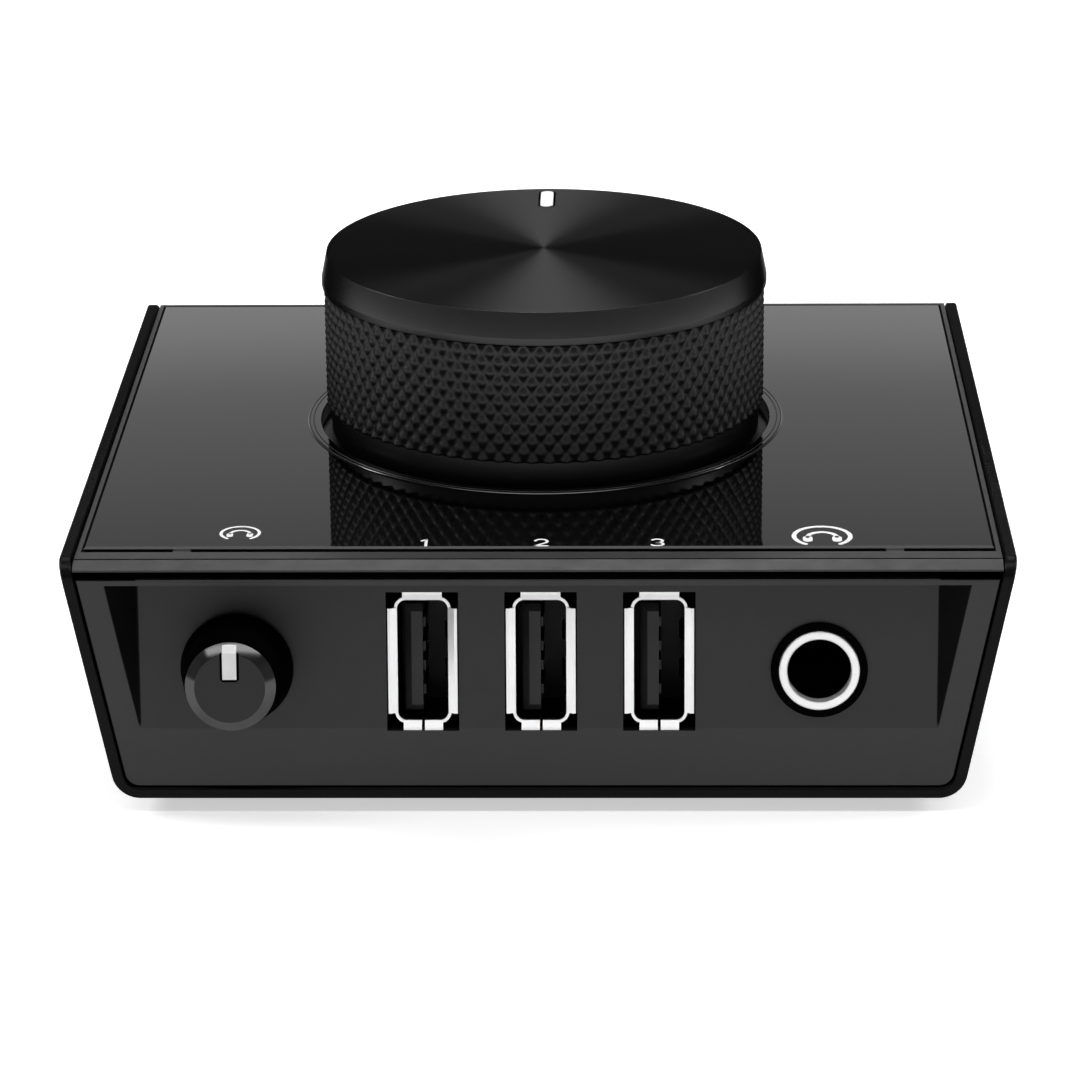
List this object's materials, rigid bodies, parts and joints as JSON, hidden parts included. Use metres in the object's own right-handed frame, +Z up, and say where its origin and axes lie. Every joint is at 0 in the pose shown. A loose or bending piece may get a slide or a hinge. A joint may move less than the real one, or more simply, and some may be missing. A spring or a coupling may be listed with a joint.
{
  "type": "audio monitoring hub",
  "caption": "Desktop audio monitoring hub: leaning-sided box with a large knurled volume knob on a gloss top, and a level knob, USB sockets and a headphone socket in a scooped front.",
  "frame": {"origin": "on the desk, under the middle of the whole part's box", "axes": "+X to the right seen from the front, +Y from the front to the rear, +Z up"},
  "size_m": [0.0958, 0.0994, 0.046],
  "materials": {
    "sheet_black": "fine satin powder coat",
    "plate_black": "polished piano black",
    "moulding_black": "fine moulded texture",
    "knob_black": "black anodised, spun crown and diamond knurl",
    "knob_plastic": "satin moulded",
    "mark_white": "plain white fill",
    "connector_metal": "bright plated",
    "contact_metal": "plated spring strip",
    "insulator_black": "moulded",
    "insulator_grey": "moulded",
    "hardware_steel": "zinc plated",
    "board_green": "solder mask",
    "chip_black": "moulded package",
    "ribbon_grey": "flat cable",
    "foot_rubber": "moulded rubber"
  },
  "bodies": {
    "case": {"chassis": "sheet_black", "top_frame": "moulding_black", "top_plate": "plate_black", "knob_ring": "moulding_black", "front_panel": "moulding_black", "rear_panel": "moulding_black", "base_screws": "hardware_steel", "panel_screws": "hardware_steel", "board_standoffs": "hardware_steel", "main_board": "board_green", "front_board": "board_green", "front_board_screws": "hardware_steel", "link_headers": "insulator_black", "link_ribbon": "ribbon_grey", "board_chips": "chip_black", "board_capacitors": "hardware_steel", "phones_sleeve": "connector_metal", "phones_washer": "insulator_black", "phones_jack_body": "insulator_black", "phones_springs": "contact_metal", "level_pot_body": "insulator_black", "level_bush": "hardware_steel", "volume_pot_body": "hardware_steel", "volume_bush": "hardware_steel", "volume_washer": "hardware_steel", "volume_nut": "hardware_steel", "volume_legs": "contact_metal", "uplink_shell": "connector_metal", "uplink_tongue": "insulator_black", "usb_shell_1": "connector_metal", "usb_tongue_1": "insulator_grey", "usb_contacts_1": "contact_metal", "usb_shell_2": "connector_metal", "usb_tongue_2": "insulator_grey", "usb_contacts_2": "contact_metal", "usb_shell_3": "connector_metal", "usb_tongue_3": "insulator_grey", "usb_contacts_3": "contact_metal", "output_jack_left": "insulator_black", "output_nut_left": "connector_metal", "output_springs_left": "contact_metal", "output_jack_right": "insulator_black", "output_nut_right": "connector_metal", "output_springs_right": "contact_metal", "foot_front_left": "foot_rubber", "foot_front_right": "foot_rubber", "foot_rear_left": "foot_rubber", "foot_rear_right": "foot_rubber"},
    "volume_control": {"volume_knob": "knob_black", "volume_core": "knob_plastic", "volume_pointer": "mark_white", "volume_shaft": "hardware_steel"},
    "level_control": {"level_knob": "knob_plastic", "level_pointer": "mark_white", "level_shaft": "hardware_steel"}
  },
  "joints": [
    {"name": "volume_turn", "type": "hinge", "parent": "case", "child": "volume_control", "pos_m": [0, 0.00584, 0.0268], "axis": [0, 0, 1], "range_deg": [-150, 150]},
    {"name": "level_turn", "type": "hinge", "parent": "case", "child": "level_control", "pos_m": [-0.03035, -0.04047, 0.01564], "axis": [0, -0.9903, 0.1392], "range_deg": [-140, 140]}
  ]
}
